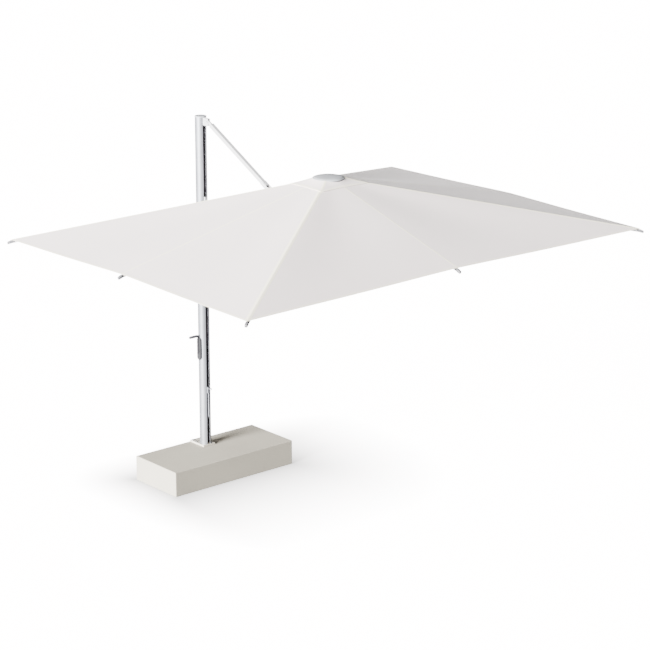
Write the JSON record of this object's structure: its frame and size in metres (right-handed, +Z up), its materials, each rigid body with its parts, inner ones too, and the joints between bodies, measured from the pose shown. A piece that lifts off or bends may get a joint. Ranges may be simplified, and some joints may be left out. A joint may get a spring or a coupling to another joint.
{
  "type": "cantilever parasol",
  "caption": "Cantilever parasol: a rectangular canopy hung from a strut and arm on a slotted mast with a crank, standing on a long block base; it folds in beside the mast.",
  "frame": {"origin": "on the base's underside, straight below the mast's axis", "axes": "+X from the mast to the canopy's hub, +Y along the canopy's long side, away from the crank, +Z up"},
  "size_m": [3.3494, 4.1272, 3.163],
  "materials": {
    "base_paint": "cream paint that matches the base",
    "canopy_cloth": "plain woven outdoor canvas, off-white",
    "cap_grey": "silver-grey moulded plastic",
    "cast_stone": "fine cast surface with small pits, matt",
    "dark_plastic": "near-black moulded plastic",
    "grey_plastic": "dark grey moulded plastic",
    "pale_metal": "pale satin metal",
    "silver_powder_coat": "silver-grey powder coat with a fine grain",
    "stainless_steel": "turned and lightly brushed"
  },
  "bodies": {
    "mast and base": {"base_block": "cast_stone", "foot_plate": "base_paint", "mast_tube": "silver_powder_coat", "slot_liner": "dark_plastic", "mast_cap": "cap_grey", "top_bracket": "pale_metal", "top_pin": "stainless_steel", "crank_housing": "grey_plastic", "lever_bracket": "silver_powder_coat"},
    "strut": {"strut_tube": "pale_metal", "strut_head": "pale_metal", "strut_plate_left": "pale_metal", "strut_plate_right": "pale_metal", "strut_pin": "stainless_steel"},
    "arm": {"arm_tube": "pale_metal", "arm_tail": "pale_metal", "arm_head": "pale_metal"},
    "carriage": {"carriage": "pale_metal", "carriage_pin": "stainless_steel"},
    "hub": {"hub_crown": "grey_plastic", "hub_bracket": "pale_metal", "hub_pin": "stainless_steel", "canopy_cap": "cap_grey", "vent_flap": "canopy_cloth"},
    "runner": {"runner": "grey_plastic"},
    "rear right rib": {"rib_rear_right": "pale_metal", "tip_rear_right": "grey_plastic", "canopy_rear_right": "canopy_cloth"},
    "right rib": {"rib_right": "pale_metal", "tip_right": "grey_plastic", "canopy_right": "canopy_cloth"},
    "front right rib": {"rib_front_right": "pale_metal", "tip_front_right": "grey_plastic", "canopy_front_right": "canopy_cloth"},
    "front rib": {"rib_front": "pale_metal", "tip_front": "grey_plastic", "canopy_front": "canopy_cloth"},
    "front left rib": {"rib_front_left": "pale_metal", "tip_front_left": "grey_plastic", "canopy_front_left": "canopy_cloth"},
    "left rib": {"rib_left": "pale_metal", "tip_left": "grey_plastic", "canopy_left": "canopy_cloth"},
    "rear left rib": {"rib_rear_left": "pale_metal", "tip_rear_left": "grey_plastic", "canopy_rear_left": "canopy_cloth"},
    "rear right stretcher": {"stretcher_rear_right": "pale_metal"},
    "right stretcher": {"stretcher_right": "pale_metal"},
    "front right stretcher": {"stretcher_front_right": "pale_metal"},
    "front stretcher": {"stretcher_front": "pale_metal"},
    "front left stretcher": {"stretcher_front_left": "pale_metal"},
    "left stretcher": {"stretcher_left": "pale_metal"},
    "rear left stretcher": {"stretcher_rear_left": "pale_metal"},
    "crank": {"crank_shaft": "stainless_steel", "cord_drum": "dark_plastic", "crank_arm": "grey_plastic"},
    "crank grip": {"crank_grip": "dark_plastic"},
    "lock lever": {"lock_lever": "silver_powder_coat"},
    "lock knob": {"lock_knob": "stainless_steel"}
  },
  "joints": [
    {"name": "canopy_fold", "type": "hinge", "parent": "mast and base", "child": "strut", "pos_m": [0.105, 0, 3.127], "axis": [0, 1, 0], "range_deg": [0, 51.53]},
    {"name": "arm_hinge", "type": "hinge", "parent": "strut", "child": "arm", "pos_m": [0.9955, 0, 2.64541], "axis": [0, 1, 0], "range_deg": [-113.59, 0.02]},
    {"name": "carriage_hinge", "type": "hinge", "parent": "arm", "child": "carriage", "pos_m": [0.085, 0, 2.385], "axis": [0, 1, 0], "range_deg": [-0.02, 62.06]},
    {"name": "hub_hinge", "type": "hinge", "parent": "arm", "child": "hub", "pos_m": [1.564, 0, 2.808], "axis": [0, 1, 0], "range_deg": [-0.02, 62.06]},
    {"name": "runner_slide", "type": "slide", "parent": "hub", "child": "runner", "axis": [0, 0, -1], "range_m": [-0.0005, 1.5005]},
    {"name": "rear_right_rib_hinge", "type": "hinge", "parent": "hub", "child": "rear right rib", "pos_m": [1.58088, -0.11266, 2.87326], "axis": [0.8047, -0.5937, 0], "range_deg": [-0.02, 77.37], "deforming": ["canopy_rear_right"]},
    {"name": "right_rib_hinge", "type": "hinge", "parent": "hub", "child": "right rib", "pos_m": [1.664, -0.14, 2.86872], "axis": [1, 0, 0], "range_deg": [-0.02, 75.65], "deforming": ["canopy_right"]},
    {"name": "front_right_rib_hinge", "type": "hinge", "parent": "hub", "child": "front right rib", "pos_m": [1.74712, -0.11266, 2.87326], "axis": [0.8047, 0.5937, 0], "range_deg": [-0.02, 77.37], "deforming": ["canopy_front_right"]},
    {"name": "front_rib_hinge", "type": "hinge", "parent": "hub", "child": "front rib", "pos_m": [1.804, 0, 2.85733], "axis": [0, 1, 0], "range_deg": [-0.02, 71.46], "deforming": ["canopy_front"]},
    {"name": "front_left_rib_hinge", "type": "hinge", "parent": "hub", "child": "front left rib", "pos_m": [1.74712, 0.11266, 2.87326], "axis": [-0.8047, 0.5937, 0], "range_deg": [-0.02, 77.37], "deforming": ["canopy_front_left"]},
    {"name": "left_rib_hinge", "type": "hinge", "parent": "hub", "child": "left rib", "pos_m": [1.664, 0.14, 2.86872], "axis": [-1, 0, 0], "range_deg": [-0.02, 75.65], "deforming": ["canopy_left"]},
    {"name": "rear_left_rib_hinge", "type": "hinge", "parent": "hub", "child": "rear left rib", "pos_m": [1.58088, 0.11266, 2.87326], "axis": [-0.8047, -0.5937, 0], "range_deg": [-0.02, 77.37], "deforming": ["canopy_rear_left"]},
    {"name": "rear_right_stretcher_hinge", "type": "hinge", "parent": "rear right rib", "child": "rear right stretcher", "pos_m": [1.06558, -0.81105, 2.70092], "axis": [0.8047, -0.5937, 0], "range_deg": [-155.54, 0.02]},
    {"name": "right_stretcher_hinge", "type": "hinge", "parent": "right rib", "child": "right stretcher", "pos_m": [1.664, -1.00473, 2.6698], "axis": [1, 0, 0], "range_deg": [-155.7, 0.02]},
    {"name": "front_right_stretcher_hinge", "type": "hinge", "parent": "front right rib", "child": "front right stretcher", "pos_m": [2.26242, -0.81105, 2.70092], "axis": [0.8047, 0.5937, 0], "range_deg": [-155.54, 0.02]},
    {"name": "front_stretcher_hinge", "type": "hinge", "parent": "front rib", "child": "front stretcher", "pos_m": [2.65696, 0, 2.59433], "axis": [0, 1, 0], "range_deg": [-156.17, 0.02]},
    {"name": "front_left_stretcher_hinge", "type": "hinge", "parent": "front left rib", "child": "front left stretcher", "pos_m": [2.26242, 0.81105, 2.70092], "axis": [-0.8047, 0.5937, 0], "range_deg": [-155.54, 0.02]},
    {"name": "left_stretcher_hinge", "type": "hinge", "parent": "left rib", "child": "left stretcher", "pos_m": [1.664, 1.00473, 2.6698], "axis": [-1, 0, 0], "range_deg": [-155.7, 0.02]},
    {"name": "rear_left_stretcher_hinge", "type": "hinge", "parent": "rear left rib", "child": "rear left stretcher", "pos_m": [1.06558, 0.81105, 2.70092], "axis": [-0.8047, -0.5937, 0], "range_deg": [-155.54, 0.02]},
    {"name": "crank_turn", "type": "hinge", "parent": "mast and base", "child": "crank", "pos_m": [0, -0.0663, 1.075], "axis": [0, -1, 0], "range_deg": [-0.5, 4231]},
    {"name": "grip_spin", "type": "hinge", "parent": "crank", "child": "crank grip", "pos_m": [0, -0.115, 1.23], "axis": [0, -1, 0], "continuous": true},
    {"name": "lever_swing", "type": "hinge", "parent": "mast and base", "child": "lock lever", "pos_m": [0.056, 0, 0.722], "axis": [0, -1, 0], "range_deg": [0, 70]},
    {"name": "knob_pull", "type": "slide", "parent": "mast and base", "child": "lock knob", "axis": [1, 0, 0], "range_m": [0, 0.01], "stiffness_N_per_m": 800, "springref_m": -0.004}
  ],
  "couplings": [
    {"joint": "arm_hinge", "follows": "canopy_fold", "ratio": -2.2039},
    {"joint": "carriage_hinge", "follows": "canopy_fold", "ratio": 1.2039},
    {"joint": "hub_hinge", "follows": "canopy_fold", "ratio": 1.2039},
    {"joint": "runner_slide", "follows": "canopy_fold", "m_per_rad": 1.6678},
    {"joint": "rear_right_rib_hinge", "follows": "canopy_fold", "ratio": 1.5011},
    {"joint": "right_rib_hinge", "follows": "canopy_fold", "ratio": 1.4676},
    {"joint": "front_right_rib_hinge", "follows": "canopy_fold", "ratio": 1.5011},
    {"joint": "front_rib_hinge", "follows": "canopy_fold", "ratio": 1.3863},
    {"joint": "front_left_rib_hinge", "follows": "canopy_fold", "ratio": 1.5011},
    {"joint": "left_rib_hinge", "follows": "canopy_fold", "ratio": 1.4676},
    {"joint": "rear_left_rib_hinge", "follows": "canopy_fold", "ratio": 1.5011},
    {"joint": "rear_right_stretcher_hinge", "follows": "canopy_fold", "ratio": -3.018},
    {"joint": "right_stretcher_hinge", "follows": "canopy_fold", "ratio": -3.021},
    {"joint": "front_right_stretcher_hinge", "follows": "canopy_fold", "ratio": -3.018},
    {"joint": "front_stretcher_hinge", "follows": "canopy_fold", "ratio": -3.0301},
    {"joint": "front_left_stretcher_hinge", "follows": "canopy_fold", "ratio": -3.018},
    {"joint": "left_stretcher_hinge", "follows": "canopy_fold", "ratio": -3.021},
    {"joint": "rear_left_stretcher_hinge", "follows": "canopy_fold", "ratio": -3.018},
    {"joint": "crank_turn", "follows": "canopy_fold", "ratio": 82.077}
  ]
}
